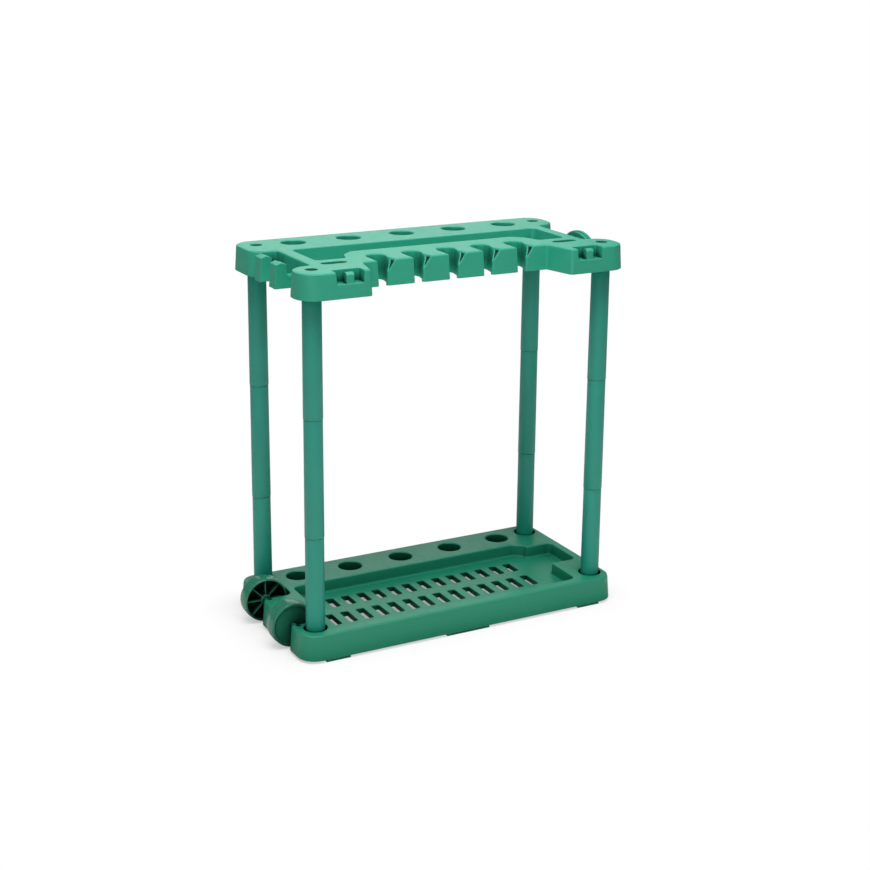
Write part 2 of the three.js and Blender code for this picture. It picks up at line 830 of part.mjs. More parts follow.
// The slanting cut that opens the hollow at the upper corner of each snap
function snapCutter(x) {
  const near = new THREE.Vector3(x + snap_cut_near_x, -comb_face_y, rack_top);
  const far = new THREE.Vector3(x + snap_cut_far_x, -comb_face_y + snap_cut_back, rack_top);
  const low = new THREE.Vector3(x + snap_cut_low_x, -comb_face_y, rack_top - snap_cut_drop);
  const along = far.clone().sub(near).normalize();
  const outward = far.clone().sub(near).cross(low.clone().sub(near)).normalize();
  if (outward.z < 0) {
    outward.negate();
  }
  const across = outward.clone().cross(along);
  const centre = near.clone().add(far).add(low).divideScalar(3);
  centre.addScaledVector(outward, snap_cutter_thickness / 2);
  const geometry = new THREE.BoxGeometry(snap_cutter_size, snap_cutter_size, snap_cutter_thickness);
  geometry.applyMatrix4(new THREE.Matrix4().makeBasis(along, across, outward).setPosition(centre));
  return toSolid(geometry);
}

function pocketCorners(side) {
  return rectangleCorners(side * pocket_centre_x, -rack_half_width + (pocket_depth_y - pocket_radius) / 2,
    pocket_width, pocket_depth_y + pocket_radius, pocket_radius);
}

// The peg in each pocket stands on the pocket floor, flush with the front face, with a leaning back
function hookPeg(side) {
  const foot_low = rack_top - pocket_drop - skin / 2;
  const high = rack_top - peg_drop;
  const front = -rack_half_width + peg_round;
  const profile = new THREE.Shape();
  profile.moveTo(-rack_half_width, foot_low);
  profile.lineTo(front + peg_depth + peg_lean, foot_low);
  profile.lineTo(front + peg_depth, high - peg_round);
  profile.absarc(front + peg_depth - peg_round, high - peg_round, peg_round, 0, Math.PI / 2, false);
  profile.lineTo(front, high);
  profile.lineTo(-rack_half_width, high - peg_round);
  const geometry = new THREE.ExtrudeGeometry(profile, {
    depth: peg_width,
    bevelEnabled: false,
    curveSegments: facetsFor(peg_round, Math.PI / 2),
  });
  geometry.translate(0, 0, -peg_width / 2);
  geometry.applyMatrix4(new THREE.Matrix4().makeBasis(
    new THREE.Vector3(0, 1, 0), new THREE.Vector3(0, 0, 1), new THREE.Vector3(1, 0, 0),
  ));
  geometry.translate(side * pocket_centre_x, 0, 0);
  return toSolid(geometry);
}

function keyslotCorners(side, grow) {
  return rectangleCorners(side * keyslot_centre_x, -keyslot_centre_y, keyslot_length + 2 * grow,
    keyslot_width + 2 * grow, (keyslot_width / 2 + grow) * keyslot_round_share);
}

// A J-hook seen from the front: root at the band, low saddle, upright tip with a crowned top
function hookProfile(inset) {
  const tip_outer = -rack_reach_left + inset;
  const tip_inner = -rack_reach_left + hook_tip_length - inset;
  const root = -band_outer_x + hook_root_overlap;
  const saddle = rack_top - hook_saddle_drop - inset;
  const crest = rack_top - hook_tip_drop - inset;
  const low = inset > 0 ? rack_bottom - cut_overrun : rack_bottom;
  const profile = new THREE.Shape();
  profile.moveTo(tip_outer - hook_draft_x, low);
  profile.lineTo(root, low);
  profile.lineTo(root, saddle);
  profile.lineTo(tip_inner + hook_saddle_radius, saddle);
  profile.absarc(tip_inner + hook_saddle_radius, saddle + hook_saddle_radius, hook_saddle_radius,
    -Math.PI / 2, -Math.PI, true);
  profile.lineTo(tip_inner, crest - hook_crown);
  profile.lineTo((tip_inner + tip_outer) / 2, crest);
  profile.lineTo(tip_outer, crest - hook_crown);
  return profile;
}

function hookSolid(centre_y, inset) {
  const width = hook_width - 2 * inset;
  const geometry = new THREE.ExtrudeGeometry(hookProfile(inset), {
    depth: width,
    bevelEnabled: false,
    curveSegments: facetsFor(hook_saddle_radius, Math.PI / 2),
  });
  geometry.rotateX(Math.PI / 2);
  geometry.translate(0, centre_y + width / 2, 0);
  return toSolid(geometry);
}

function hooks() {
  return [hook_near_y, hook_far_y].map((y) => hookSolid(y, 0).subtract(hookSolid(y, wall)));
}

// The grip is a thin hollow wall across the right bay, arched on top and beaded along the arch
function gripProfile(radius, low) {
  const crest = rack_top - grip_crest_drop;
  const centre_z = crest - grip_arch_radius;
  const shoulder = rack_bottom + grip_rail_height + radius - grip_arch_radius;
  const half = Math.sqrt(radius * radius - (shoulder - centre_z) * (shoulder - centre_z));
  const start = Math.atan2(shoulder - centre_z, half);
  const profile = new THREE.Shape();
  profile.moveTo(-right_bay_front_y - grip_root_lap, low);
  profile.lineTo(right_bay_back_y + grip_root_lap, low);
  profile.lineTo(right_bay_back_y + grip_root_lap, shoulder);
  profile.absarc(grip_centre_y, centre_z, radius, start, Math.PI - start, false);
  profile.lineTo(-right_bay_front_y - grip_root_lap, shoulder);
  return profile;
}

function gripLayer(radius, low, from_x, to_x) {
  const geometry = new THREE.ExtrudeGeometry(gripProfile(radius, low), {
    depth: to_x - from_x,
    bevelEnabled: false,
    curveSegments: facetsFor(radius, Math.PI / 2),
  });
  geometry.applyMatrix4(new THREE.Matrix4().makeBasis(
    new THREE.Vector3(0, 1, 0), new THREE.Vector3(0, 0, 1), new THREE.Vector3(1, 0, 0),
  ));
  geometry.translate(from_x, 0, 0);
  return toSolid(geometry);
}

function grip() {
  const inner_x = grip_outer_x - grip_thickness;
  const body = gripLayer(grip_arch_radius - grip_bead, rack_bottom, inner_x, grip_outer_x);
  const bead = gripLayer(grip_arch_radius, rack_bottom, grip_outer_x - grip_bead * 2, grip_outer_x);
  const hollow = gripLayer(grip_arch_radius - grip_bead - grip_wall, rack_bottom - cut_overrun,
    inner_x + grip_wall, grip_outer_x - grip_wall);
  return body.add(bead).subtract(hollow);
}

// Webs inside the rack: a cross at each post collar and one between each pair of rail holes
function rackWebs() {
  const webs = [];
  const low = rack_bottom + rack_rib_drop;
  for (const place of postPlaces()) {
    webs.push(block(place.x, place.y, lobe_radius * 2, rib_thickness, low, rack_top));
    webs.push(block(place.x, place.y, rib_thickness, lobe_radius * 2, low, rack_top));
  }
  for (let index = 0; index < hole_count - 1; index += 1) {
    const x = (index - hole_count / 2 + 1) * hole_pitch;
    webs.push(block(x, (window_back_y + rack_half_width) / 2, rib_thickness, rack_half_width - window_back_y, low,
      rack_top));
  }
  return webs;
}

function buildTopRack() {
  const outline = rackOutline();
  const ceiling = rack_top - skin;
  const collar_low = posts_top + seat_gap;
  const spigot_top = posts_top + spigot_length;
  const outer = levelledSolid(outline, mouldLevels(rack_bottom, rack_top, rack_draft_share, edge_fillet));
  const hollow = levelledSolid(insetCorners(outline, wall), [
    [rack_bottom - cut_overrun, -cut_overrun * rack_draft_share],
    [ceiling, (ceiling - rack_bottom) * rack_draft_share],
  ]);
  const kept = [
    levelledSolid(insetCorners(windowOutline(), -wall), [[rack_bottom, rack_height * rack_draft_share],
      [rack_top, 0]]),
    ...rackWebs(),
  ];
  for (const x of holeCentres()) {
    kept.push(cylinder(hole_diameter / 2 + wall, rack_bottom, rack_top, x, hole_row_y));
  }
  for (const place of postPlaces()) {
    kept.push(cylinder(spigot_diameter / 2 + rack_collar_wall, collar_low, rack_top, place.x, place.y));
  }
  const pocket_low = rack_top - pocket_drop;
  for (const side of [-1, 1]) {
    kept.push(levelledSolid(insetCorners(pocketCorners(side), -wall), [[pocket_low - skin, 0], [rack_top, 0]]));
    kept.push(levelledSolid(keyslotCorners(side, wall), [[rack_bottom + rack_rib_drop, 0], [rack_top, 0]]));
  }
  let rack = outer.subtract(hollow.subtract(joinAll(kept)));
  const cuts = [
    levelledSolid(windowOutline(), [
      [rack_bottom - cut_overrun, (rack_height + cut_overrun) * rack_draft_share],
      ...recessLevels(rack_bottom, rack_top, rack_draft_share, mouth_round, 0).slice(1),
    ]),
    ...notchCentres().map(snapCutter),
  ];
  for (const x of holeCentres()) {
    cuts.push(flaredBore(hole_diameter / 2, rack_bottom - cut_overrun, rack_top, x, hole_row_y));
  }
  for (const place of postPlaces()) {
    cuts.push(cylinder(spigot_diameter / 2 + seat_gap, rack_bottom - cut_overrun, spigot_top + seat_gap, place.x,
      place.y));
    cuts.push(cylinder(rack_post_hole / 2, rack_bottom - cut_overrun, rack_top + cut_overrun, place.x, place.y));
  }
  for (const side of [-1, 1]) {
    cuts.push(levelledSolid(pocketCorners(side), recessLevels(pocket_low, rack_top, pocket_draft_share, 0, 0)));
    cuts.push(levelledSolid(keyslotCorners(side, 0), [[rack_bottom, 0], [rack_top + cut_overrun, 0]]));
  }
  rack = rack.subtract(joinAll(cuts));
  const pegs = [-1, 1].map((side) => hookPeg(side).intersect(outer));
  return joinAll([rack, ...pegs, ...hooks(), grip()]);
}

// Assembly

function plastic(colour, roughness) {
  return new THREE.MeshStandardMaterial({ color: colour, roughness, metalness: 0 });
}

function named(name, geometry, material) {
  const mesh = new THREE.Mesh(geometry, material);
  mesh.name = name;
  return mesh;
}

function addPosts(stand) {
  const section = toGeometry(buildPostSection());
  const levels = ['lower', 'middle', 'upper'];
  for (const place of postPlaces()) {
    const post = new THREE.Group();
    post.position.set(place.x, place.y, section_seat);
    levels.slice(0, sections_per_post).forEach((level, index) => {
      const mesh = named(`post_${place.name}_${level}`, section.clone(), plastic(0x35917a, 0.42));
      mesh.position.z = index * section_length;
      post.add(mesh);
    });
    stand.add(post);
  }
}

function addWheels(stand) {
  for (const span of axleSpans()) {
    const side = span.name === 'front' ? -1 : 1;
    const wheel = named(`wheel_${span.name}`, buildWheel(side), plastic(0x3a9479, 0.4));
    wheel.position.set(wheel_centre_x, side * wheel_centre_y, axle_height);
    stand.add(wheel);
    const pin = named(`axle_pin_${span.name}`, buildAxlePin(span), plastic(0x1f6f59, 0.45));
    pin.position.set(wheel_centre_x, (span.low + span.high) / 2, axle_height);
    stand.add(pin);
  }
}

function buildStand() {
  const stand = new THREE.Group();
  stand.add(named('base_tray', toGeometry(buildBaseTray()), plastic(0x3a9a7d, 0.45)));
  stand.add(named('top_rack', toGeometry(buildTopRack()), plastic(0x3fa487, 0.45)));
  addPosts(stand);
  addWheels(stand);
  stand.position.x = -middle_x;
  const part = new THREE.Group();
  part.add(stand);
  return part;
}

export default buildStand();
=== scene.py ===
"""Looks of a freestanding garden tool rack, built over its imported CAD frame."""
import math

import bmesh
import bpy
from mathutils import Matrix, Vector


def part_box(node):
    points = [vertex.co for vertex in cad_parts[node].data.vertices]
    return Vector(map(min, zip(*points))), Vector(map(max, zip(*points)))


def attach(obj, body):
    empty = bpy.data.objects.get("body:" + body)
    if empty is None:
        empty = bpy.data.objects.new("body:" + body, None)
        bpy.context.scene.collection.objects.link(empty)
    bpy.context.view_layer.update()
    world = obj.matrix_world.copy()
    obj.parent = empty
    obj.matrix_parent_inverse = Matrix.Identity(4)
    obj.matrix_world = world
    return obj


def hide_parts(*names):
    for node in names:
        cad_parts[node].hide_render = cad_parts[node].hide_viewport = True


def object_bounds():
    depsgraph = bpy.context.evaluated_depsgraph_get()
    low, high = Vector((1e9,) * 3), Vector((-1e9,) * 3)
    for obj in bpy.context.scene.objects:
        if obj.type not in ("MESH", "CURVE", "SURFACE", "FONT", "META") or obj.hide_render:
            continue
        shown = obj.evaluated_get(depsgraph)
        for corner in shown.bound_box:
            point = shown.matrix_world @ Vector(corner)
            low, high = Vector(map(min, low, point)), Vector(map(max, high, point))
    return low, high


bl_info = {
    "name": "Garden tool rack",
    "version": (1, 0, 0),
    "blender": (4, 5, 0),
    "location": "3D View > Sidebar > Tool rack",
    "description": "Gives a green moulded garden tool rack its finish, posts, wheels and stage",
    "category": "Object",
}

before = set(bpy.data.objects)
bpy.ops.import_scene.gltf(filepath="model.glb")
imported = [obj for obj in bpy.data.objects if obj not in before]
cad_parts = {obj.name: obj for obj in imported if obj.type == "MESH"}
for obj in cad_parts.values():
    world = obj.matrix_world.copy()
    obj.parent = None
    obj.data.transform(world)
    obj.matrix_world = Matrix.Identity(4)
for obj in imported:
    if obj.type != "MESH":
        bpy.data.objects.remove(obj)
CAD_BOX = [list(corner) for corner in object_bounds()]

MM = 0.001
WHITE = (1, 1, 1, 1)

# The pieces: mouldings with their slots, posts, wheels with the way their closed faces look
# along Y, and axle pins.
MOULDINGS = {"base_tray": "base_moulding", "top_rack": "rack_moulding"}
POSTS = sorted(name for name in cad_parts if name.startswith("post_"))
WHEELS = {"wheel_front": -1, "wheel_rear": 1}
PINS = ("axle_pin_front", "axle_pin_rear")

# Patterns of the moulded skin, in millimetres.
FLOW_MARK_MM = 55
HANDLING_MARK_MM = 12
GRAIN_MM = 1.6
GRAIN_DEPTH_MM = 0.05

# Meshes: how close points are joined in CAD nodes and in new pieces, how far from its height a
# face still belongs to the flat top, the angle above which an edge stays crisp, how strongly
# large faces hold their shading, the share of a slab that its soft edges take, and the sides of
# turned pieces.
MERGE_MM = 0.004
WELD_MM = 0.001
FLAT_TOLERANCE_MM = 0.02
CRISP_ANGLE = math.radians(32)
FACE_WEIGHT = 90
SLAB_SOFTNESS = 0.4
POST_SIDES = 96
WHEEL_SIDES = 120
PIN_SIDES = 48

# Floor, in metres: from FLOOR_INSET inside the rack's outline the camera sees more and more
# white between the two distances of FLOOR_FADE, from the first to the second share of
# FLOOR_WHITE. SPECKLE_MM is the mottle of the paint.
FLOOR_HALF_SIZE = 12
FLOOR_DROP = 0.0002
FLOOR_INSET = 0.04
FLOOR_FADE = (-0.03, 0.1)
FLOOR_WHITE = (0.25, 1.0)
SPECKLE_MM = 8

# Soft lights, in metres: place, width and height, all aimed at the middle of the rack.
LIGHT_TARGET = (0, 0, 0.3)
MAIN_LIGHT = ((-0.25, -0.6, 2.7), 2.0, 1.5)
FILL_LIGHT = ((-2.0, -2.3, 1.3), 1.8, 1.8)
BACKDROP_LIGHT = ((1.1, 2.9, 1.5), 1.9, 1.4)

# The photograph's camera: where it stands, which way it looks, and its focal length in pixels
# of a frame 870 wide.
CAMERA_PLACE = (-1.172796, -2.220134, 1.078293)
CAMERA_AZIMUTH = -28.323
CAMERA_ELEVATION = 15.892
CAMERA_ROLL = 0.532
FOCAL_PIXELS = 1633.69
FRAME_PIXELS = 870
OPTICAL_CENTRE_Y = 391.5
SENSOR_MM = 36
CLIP_END = 60


def linear_from_hex(text):
    """Linear colour of an sRGB hex value."""
    channels = [int(text[i:i + 2], 16) / 255 for i in (0, 2, 4)]
    return tuple(c / 12.92 if c <= 0.04045 else ((c + 0.055) / 1.055) ** 2.4 for c in channels)


def scaled(colour, share):
    """The colour lightened or darkened by a share, as the RGBA that a socket takes."""
    return tuple(min(1.0, c * share) for c in colour) + (1.0,)


def per_metre(spacing_mm):
    """The scale of a pattern whose grain is that many millimetres across."""
    return 1 / (spacing_mm * MM)


def add_node(tree, kind, settings=None, values=None, links=None):
    """Adds a node with its settings, its socket values and the sockets that feed it."""
    node = tree.nodes.new(kind)
    for name, value in (settings or {}).items():
        setattr(node, name, value)
    for socket, value in (values or {}).items():
        node.inputs[socket].default_value = value
    for socket, source in (links or {}).items():
        tree.links.new(source, node.inputs[socket])
    return node


def blank_material(name):
    """A material with an empty node tree."""
    material = bpy.data.materials.new(name)
    material.use_nodes = True
    material.node_tree.nodes.clear()
    return material


def moulded_polypropylene(name, colour, roughness, edge_round_mm, painted_shade_share, recess):
    """Injection-moulded polypropylene: a satin skin with a fine spark-eroded grain, faint flow
    marks where the melt ran, and rounded edges with a painted highlight along them. Recesses get
    painted shade: recess holds a reach in millimetres and two shares of open sky, where the
    painted dark tone is full and where it ends."""
    reach_mm, dark_sky, open_sky = recess
    material = blank_material(name)
    tree = material.node_tree
    place = add_node(tree, "ShaderNodeTexCoord").outputs["Object"]

    # Flow marks: patches a few centimetres long, stretched along the moulding.
    run = add_node(tree, "ShaderNodeMapping", values={"Scale": (0.45, 1.0, 1.0)},
                   links={"Vector": place})
    flow = add_node(tree, "ShaderNodeTexNoise",
                    values={"Scale": per_metre(FLOW_MARK_MM), "Detail": 3.0, "Roughness": 0.55},
                    links={"Vector": run.outputs[0]})
    tone = add_node(tree, "ShaderNodeMix", {"data_type": "RGBA"},
                    {6: scaled(colour, 0.94), 7: scaled(colour, 1.07)}, {0: flow.outputs[0]})

    # Handling marks: patches of about 12 mm that are a little more or less glossy.
    rubbed = add_node(tree, "ShaderNodeTexNoise",
                      values={"Scale": per_metre(HANDLING_MARK_MM),
                              "Detail": 4.0, "Roughness": 0.6},
                      links={"Vector": place})
    gloss = add_node(tree, "ShaderNodeMapRange",
                     values={"From Min": 0.25, "From Max": 0.75,
                             "To Min": roughness - 0.05, "To Max": roughness + 0.06},
                     links={"Value": rubbed.outputs[0]})

    # Edges: the Bevel node rounds the shading of the mould's sharp corners, and a painted
    # highlight makes the colour paler along the rounding.
    rounded = add_node(tree, "ShaderNodeBevel", {"samples": 6},
                       {"Radius": edge_round_mm * MM})
    flat = add_node(tree, "ShaderNodeNewGeometry")
    turn = add_node(tree, "ShaderNodeVectorMath", {"operation": "DOT_PRODUCT"},
                    links={0: rounded.outputs[0], 1: flat.outputs["Normal"]})
    edge = add_node(tree, "ShaderNodeMapRange",
                    values={"From Min": 1.0, "From Max": 0.8, "To Min": 0.0, "To Max": 0.7},
                    links={"Value": turn.outputs["Value"]})
    # shade: the colour with the painted highlight along rounded edges
    shade = add_node(tree, "ShaderNodeMix", {"data_type": "RGBA"},
                     {7: scaled(tuple(c + 0.07 for c in colour), 1.2)},
                     {0: edge.outputs[0], 6: tone.outputs[2]})

    # Painted shade: where the ambient occlusion finds little open sky in holes, hollows and slots,
    # the colour is darkened towards deep green.
    sky = add_node(tree, "ShaderNodeAmbientOcclusion", {"samples": 8, "only_local": False},
                   {"Distance": reach_mm * MM})
    painted_shade_mask = add_node(tree, "ShaderNodeMapRange", {"interpolation_type": "SMOOTHSTEP"},
                      {"From Min": dark_sky, "From Max": open_sky, "To Min": 1.0, "To Max": 0.0},
                      {"Value": sky.outputs["AO"]})
    # deep: the colour with the painted shade in recesses
    deep = add_node(tree, "ShaderNodeMix", {"data_type": "RGBA"},
                    {7: scaled(colour, painted_shade_share)}, {0: painted_shade_mask.outputs[0], 6: shade.outputs[2]})

    # Grain: the real texture is about 0.3 mm, drawn at 1.6 mm so that it shows in the render.
    grain = add_node(tree, "ShaderNodeTexNoise",
                     values={"Scale": per_metre(GRAIN_MM), "Detail": 2.0, "Roughness": 0.5},
                     links={"Vector": place})
    bump = add_node(tree, "ShaderNodeBump",
                    values={"Strength": 0.5, "Distance": GRAIN_DEPTH_MM * MM},
                    links={"Height": grain.outputs[0], "Normal": rounded.outputs[0]})

    # Painted shade on the sheen: the specular level drops where the ambient occlusion finds little
    # open sky, so the floors and walls of hollows shine less.
    painted_sheen_shade = add_node(tree, "ShaderNodeMapRange",
                    values={"From Min": 0.6, "From Max": 0.95, "To Min": 0.1, "To Max": 0.5},
                    links={"Value": sky.outputs["AO"]})
    plastic = add_node(tree, "ShaderNodeBsdfPrincipled", values={"IOR": 1.49},
                       links={"Base Color": deep.outputs[2], "Roughness": gloss.outputs[0],
                              "Specular IOR Level": painted_sheen_shade.outputs[0], "Normal": bump.outputs[0]})
    add_node(tree, "ShaderNodeOutputMaterial", links={"Surface": plastic.outputs[0]})
    return material


def merge_close(group, geometry):
    """Joins points that lie within the merging distance, and gives the joined geometry."""
    joined = add_node(group, "GeometryNodeMergeByDistance", values={"Distance": MERGE_MM * MM},
                      links={"Geometry": geometry})
    return joined.outputs[0]


def refill_flat_top(group, whole, height, material):
    """Takes out the faces that lie flat at height and fills their outline again, because the
    CAD mesh has a few long triangles folded over their neighbours there."""
    place = add_node(group, "GeometryNodeInputPosition")
    level = add_node(group, "ShaderNodeSeparateXYZ", links={0: place.outputs[0]})
    flat = add_node(group, "FunctionNodeCompare",
                    {"data_type": "FLOAT", "operation": "GREATER_THAN"},
                    {"B": height - FLAT_TOLERANCE_MM * MM}, {"A": level.outputs["Z"]})
    parted = add_node(group, "GeometryNodeSeparateGeometry", {"domain": "FACE"},
                      links={"Geometry": whole, "Selection": flat.outputs[0]})
    faces = add_node(group, "GeometryNodeInputMeshEdgeNeighbors")
    rim = add_node(group, "FunctionNodeCompare", {"data_type": "INT", "operation": "EQUAL"},
                   {3: 1}, {2: faces.outputs[0]})
    outline = add_node(group, "GeometryNodeMeshToCurve",
                       links={"Mesh": parted.outputs["Selection"], "Selection": rim.outputs[0]})
    filled = add_node(group, "GeometryNodeFillCurve", links={"Curve": outline.outputs[0]})
    here = add_node(group, "GeometryNodeInputPosition")
    sides = add_node(group, "ShaderNodeSeparateXYZ", links={0: here.outputs[0]})
    lifted = add_node(group, "ShaderNodeCombineXYZ", values={"Z": height},
                      links={"X": sides.outputs["X"], "Y": sides.outputs["Y"]})
    raised = add_node(group, "GeometryNodeSetPosition",
                      links={"Geometry": filled.outputs[0], "Position": lifted.outputs[0]})
    dressed = add_node(group, "GeometryNodeSetMaterial", values={"Material": material},
                       links={"Geometry": raised.outputs[0]})
    both = add_node(group, "GeometryNodeJoinGeometry")
    group.links.new(dressed.outputs[0], both.inputs[0])
    group.links.new(parted.outputs["Inverted"], both.inputs[0])
    return both.outputs[0]


def smooth_by_angle_group(name, material, flat_top=None):
    """Geometry nodes that join a CAD node's loose triangles and shade its round faces smoothly,
    with every edge sharper than the crisp angle kept crisp. A flat top is filled afresh."""
    group = bpy.data.node_groups.new(name, "GeometryNodeTree")
    group.interface.new_socket("Geometry", in_out="INPUT", socket_type="NodeSocketGeometry")
    group.interface.new_socket("Geometry", in_out="OUTPUT", socket_type="NodeSocketGeometry")
    start = add_node(group, "NodeGroupInput")
    plain = add_node(group, "GeometryNodeRemoveAttribute", values={"Name": "custom_normal"},
                     links={"Geometry": start.outputs[0]})
    whole = merge_close(group, plain.outputs[0])
    if flat_top:
        whole = merge_close(group, refill_flat_top(group, whole, flat_top, material))
    soft = add_node(group, "GeometryNodeSetShadeSmooth", {"domain": "FACE"},
                    {"Shade Smooth": True}, {"Geometry": whole})
    angle = add_node(group, "GeometryNodeInputMeshEdgeAngle")
    sharp = add_node(group, "FunctionNodeCompare",
                     {"data_type": "FLOAT", "operation": "GREATER_THAN"},
                     {"B": CRISP_ANGLE}, {"A": angle.outputs["Unsigned Angle"]})
    crisp = add_node(group, "GeometryNodeSetShadeSmooth", {"domain": "EDGE"},
                     {"Shade Smooth": False},
                     {"Geometry": soft.outputs[0], "Selection": sharp.outputs[0]})
    add_node(group, "NodeGroupOutput", links={0: crisp.outputs[0]})
    return group


def smooth_cad_node(obj, flat_top=None):
    """Smooth shading for a CAD node through modifiers alone; its mesh stays as it is."""
    modifier = obj.modifiers.new("join_and_smooth", "NODES")
    modifier.node_group = smooth_by_angle_group(
        "join_and_smooth_" + obj.name, obj.material_slots[0].material, flat_top)
    weighted = obj.modifiers.new("flat_faces_stay_flat", "WEIGHTED_NORMAL")
    weighted.keep_sharp = True
    weighted.weight = FACE_WEIGHT


def round_corner(corner, start, end, steps):
    """Points of a rounded corner of a profile, from start to end round the corner."""
    points = []
    for step in range(steps + 1):
        t = step / steps
        a, b = start.lerp(corner, t), corner.lerp(end, t)
        points.append(a.lerp(b, t))
    return points


def rounded_profile(corners, steps=4):
    """A closed profile of (radius, place along the axis, rounding) corners, as its points."""
    count = len(corners)
    points = []
    for index, (radius, along, rounding) in enumerate(corners):
        here = Vector((radius, along))
        before = Vector(corners[index - 1][:2])
        after = Vector(corners[(index + 1) % count][:2])
        if rounding <= 0:
            points.append(here)
            continue
        start = here + (before - here).normalized() * rounding
        end = here + (after - here).normalized() * rounding
        points += round_corner(here, start, end, steps)
    return points


def turn_profile(mesh, profile, sides, centre, axis):
    """Turns a closed profile round a line through centre along axis ("Y" or "Z")."""
    rings = []
    for side in range(sides):
        angle = 2 * math.pi * side / sides
        ring = []
        for radius, along in profile:
            across, up = radius * math.cos(angle), radius * math.sin(angle)
            offset = Vector((across, along, up) if axis == "Y" else (across, up, along))
            ring.append(mesh.verts.new(centre + offset))
        rings.append(ring)
    count = len(profile)
    for side, ring in enumerate(rings):
        after = rings[(side + 1) % sides]
        for index in range(count):
            nearby = (index + 1) % count
            if profile[index][0] <= 0 and profile[nearby][0] <= 0:
                continue
            mesh.faces.new((ring[index], ring[nearby], after[nearby], after[index]))


def add_slab(mesh, centre, along, across, up, size):
    """A slab with soft edges; along, across and up are its directions and size its lengths."""
    half = [length / 2 for length in size]
    corners = []
    for a, b, c in ((-1, -1, -1), (1, -1, -1), (1, 1, -1), (-1, 1, -1),
                    (-1, -1, 1), (1, -1, 1), (1, 1, 1), (-1, 1, 1)):
        place = centre + along * a * half[0] + across * b * half[1] + up * c * half[2]
        corners.append(mesh.verts.new(place))
    faces = [mesh.faces.new([corners[i] for i in loop]) for loop in
             ((0, 3, 2, 1), (4, 5, 6, 7), (0, 1, 5, 4), (1, 2, 6, 5), (2, 3, 7, 6), (3, 0, 4, 7))]
    edges = {edge for face in faces for edge in face.edges}
    bmesh.ops.bevel(mesh, geom=list(edges), offset=min(half) * SLAB_SOFTNESS, segments=2,
                    affect="EDGES", profile=0.5)


def make_piece(name, mesh, material, body, node):
    """Turns the mesh into a piece that rides on body and stands for a CAD node."""
    bmesh.ops.remove_doubles(mesh, verts=mesh.verts, dist=WELD_MM * MM)
    bmesh.ops.recalc_face_normals(mesh, faces=mesh.faces)
    data = bpy.data.meshes.new(name)
    mesh.to_mesh(data)
    mesh.free()
    data.shade_smooth()
    data.set_sharp_from_angle(angle=CRISP_ANGLE)
    data.materials.append(material)
    piece = bpy.data.objects.new(name, data)
    bpy.context.scene.collection.objects.link(piece)
    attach(piece, body)
    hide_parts(node)
    return piece


class RackFinish(bpy.types.PropertyGroup):
    """Colours and surface of the mouldings, with their painted edge highlight and the painted
    shade in their recesses.
    """

    rack_green: bpy.props.FloatVectorProperty(
        name="Rack green", description="Colour of the top rack's plastic",
        subtype="COLOR", size=3, min=0, max=1, default=linear_from_hex("2a9b7e"))
    base_green: bpy.props.FloatVectorProperty(
        name="Base green", description="Colour of the base tray's plastic",
        subtype="COLOR", size=3, min=0, max=1, default=linear_from_hex("1d8769"))
    post_green: bpy.props.FloatVectorProperty(
        name="Post green", description="Colour of the post tubes' plastic",
        subtype="COLOR", size=3, min=0, max=1, default=linear_from_hex("20907d"))
    wheel_green: bpy.props.FloatVectorProperty(
        name="Wheel green", description="Colour of the wheels and axle pins",
        subtype="COLOR", size=3, min=0, max=1, default=linear_from_hex("28785f"))
    roughness: bpy.props.FloatProperty(
        name="Satin", description="Roughness of the moulded skin", subtype="FACTOR",
        min=0.1, max=0.9, default=0.44)
    # The edge round also sets the width of the painted highlight along the edges.
    edge_round: bpy.props.FloatProperty(
        name="Edge round", description="Rounding of the mouldings' edges, in millimetres",
        min=0.1, max=3, default=1.9)
    # Painted shade in recesses: the share of the colour left where it is darkest, then for each
    # kind of piece its reach and sky shares.
    painted_shade_share: bpy.props.FloatProperty(
        name="Recess tone", description="Share of the colour that is left deep in a recess",
        subtype="FACTOR", min=0, max=1, default=0.1)
    deep_painted_shade: bpy.props.FloatVectorProperty(
        name="Deep recess", size=3, min=0, max=200, default=(60, 0.1, 0.85),
        description="Base tray and wheels: how far off a wall still darkens, in millimetres, "
                    "and the shares of open sky where the dark tone is full and where it ends")
    shell_painted_shade: bpy.props.FloatVectorProperty(
        name="Shell recess", size=3, min=0, max=200, default=(120, 0.28, 0.47),
        description="The same three values for the top rack and the posts")
    wheel_roughness: bpy.props.FloatProperty(
        name="Wheel gloss", description="Roughness of the wheels and pins, worn smooth",
        subtype="FACTOR", min=0.1, max=0.9, default=0.25)


